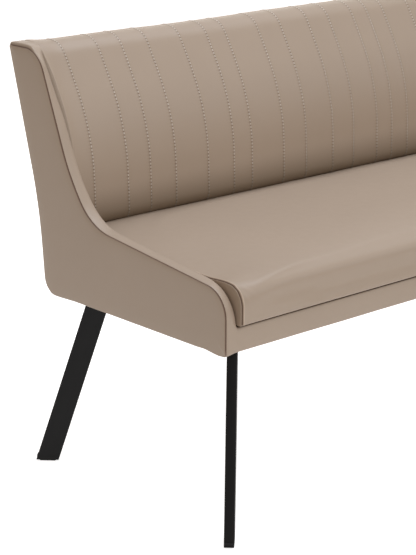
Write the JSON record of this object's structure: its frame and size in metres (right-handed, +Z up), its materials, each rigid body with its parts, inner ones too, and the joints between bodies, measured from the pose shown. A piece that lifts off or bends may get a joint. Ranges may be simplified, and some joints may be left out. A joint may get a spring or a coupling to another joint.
{
  "type": "corner bench",
  "caption": "L-shaped upholstered corner bench with a channel-stitched back, low swept end cheeks and splayed flat black legs.",
  "frame": {"origin": "middle of the bench's footprint box, on the floor", "axes": "+Z up, +X along the long side towards the corner, +Y from the front of the long side to its back"},
  "size_m": [2.0512, 1.5512, 0.86],
  "materials": {
    "leatherette": "semi-matt taupe leatherette with pale stitching",
    "board": "raw plywood",
    "beech": "planed beech",
    "foam": "open-cell foam",
    "webbing": "woven elastic webbing",
    "dust_cloth": "black non-woven cloth",
    "black_coat": "matt black powder coat",
    "black_plastic": "matt black plastic",
    "zinc_steel": "zinc-plated steel"
  },
  "bodies": {
    "root": {"long_cheek_core": "board", "long_cheek_skin": "leatherette", "long_cheek_strip": "leatherette", "long_cheek_inner_pad": "leatherette", "long_rear_cover": "leatherette", "long_back_board": "board", "long_back_posts": "beech", "long_back_foam": "foam", "long_back_pad": "leatherette", "long_seat_rails": "beech", "long_webbing": "webbing", "long_seat_foam": "foam", "long_seat_cushion": "leatherette", "long_apron": "leatherette", "long_dust_cover": "dust_cloth", "short_cheek_core": "board", "short_cheek_skin": "leatherette", "short_cheek_strip": "leatherette", "short_cheek_inner_pad": "leatherette", "short_rear_cover": "leatherette", "short_back_board": "board", "short_back_posts": "beech", "short_back_foam": "foam", "short_back_pad": "leatherette", "short_seat_rails": "beech", "short_webbing": "webbing", "short_seat_foam": "foam", "short_seat_cushion": "leatherette", "short_apron": "leatherette", "short_dust_cover": "dust_cloth", "corner_rear_cover_a": "leatherette", "corner_rear_cover_b": "leatherette", "corner_back_boards": "board", "corner_back_posts": "beech", "corner_back_foams": "foam", "corner_back_pad_a": "leatherette", "corner_back_pad_b": "leatherette", "corner_seat_rails": "beech", "corner_webbing": "webbing", "corner_seat_foam": "foam", "corner_seat_cushion": "leatherette", "corner_dust_cover": "dust_cloth", "leg_long_front": "black_coat", "leg_long_rear": "black_coat", "leg_short_front": "black_coat", "leg_short_rear": "black_coat", "leg_corner_inner": "black_coat", "leg_corner_outer": "black_coat", "leg_corner_rear": "black_coat", "leg_corner_side": "black_coat", "leg_screws": "zinc_steel", "leg_blocks": "beech", "leg_glides": "black_plastic", "joining_bolts": "zinc_steel", "joining_nuts": "zinc_steel"}
  },
  "joints": []
}
